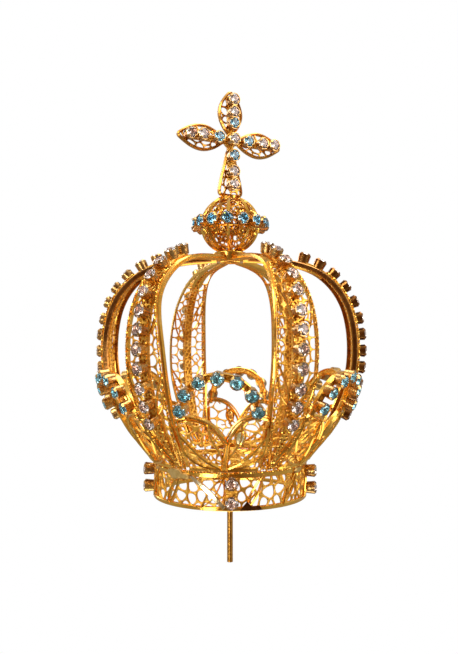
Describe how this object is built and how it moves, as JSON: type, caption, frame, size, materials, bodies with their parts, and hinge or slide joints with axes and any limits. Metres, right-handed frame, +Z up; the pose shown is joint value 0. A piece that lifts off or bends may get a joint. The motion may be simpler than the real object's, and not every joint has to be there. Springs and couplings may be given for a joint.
{
  "type": "statue crown",
  "caption": "Openwork gilt filigree crown for a small statue: arched and domed over a circlet, with an orb and cross on top, set with stones, and a pin below to fix it.",
  "frame": {"origin": "on the axis of the crown at the underside of the circlet, where the fixing pin leaves it", "axes": "+Z up along the axis, from the pin to the cross; the petal at the front of the picture faces -Y; +X to the viewer's right"},
  "size_m": [0.061, 0.06, 0.107],
  "materials": {
    "gold": "polished gilt",
    "crystal": "faceted clear glass",
    "aqua": "faceted pale blue glass"
  },
  "bodies": {
    "root": {"circlet": "gold", "petal_front": "gold", "petal_front_right": "gold", "petal_back_right": "gold", "petal_back": "gold", "petal_back_left": "gold", "petal_front_left": "gold", "arch_front_right": "gold", "arch_right": "gold", "arch_back_right": "gold", "arch_back_left": "gold", "arch_left": "gold", "arch_front_left": "gold", "collar": "gold", "orb": "gold", "cross": "gold", "seat_bar": "gold", "pin": "gold", "crystal_circlet_front_lower": "crystal", "crystal_circlet_front_upper": "crystal", "crystal_circlet_right_lower": "crystal", "crystal_circlet_right_upper": "crystal", "crystal_circlet_back_lower": "crystal", "crystal_circlet_back_upper": "crystal", "crystal_circlet_left_lower": "crystal", "crystal_circlet_left_upper": "crystal", "aqua_orb_01": "aqua", "aqua_orb_02": "aqua", "aqua_orb_03": "aqua", "aqua_orb_04": "aqua", "aqua_orb_05": "aqua", "aqua_orb_06": "aqua", "aqua_orb_07": "aqua", "aqua_orb_08": "aqua", "aqua_orb_09": "aqua", "aqua_orb_10": "aqua", "aqua_orb_11": "aqua", "aqua_orb_12": "aqua", "aqua_orb_13": "aqua", "aqua_orb_14": "aqua", "aqua_orb_15": "aqua", "crystal_cross_centre": "crystal", "aqua_cross_top": "aqua", "crystal_cross_top_1": "crystal", "crystal_cross_top_2": "crystal", "aqua_cross_left": "aqua", "crystal_cross_left_1": "crystal", "crystal_cross_left_2": "crystal", "aqua_cross_foot": "aqua", "crystal_cross_foot_1": "crystal", "crystal_cross_foot_2": "crystal", "aqua_cross_right": "aqua", "crystal_cross_right_1": "crystal", "crystal_cross_right_2": "crystal"}
  },
  "joints": []
}
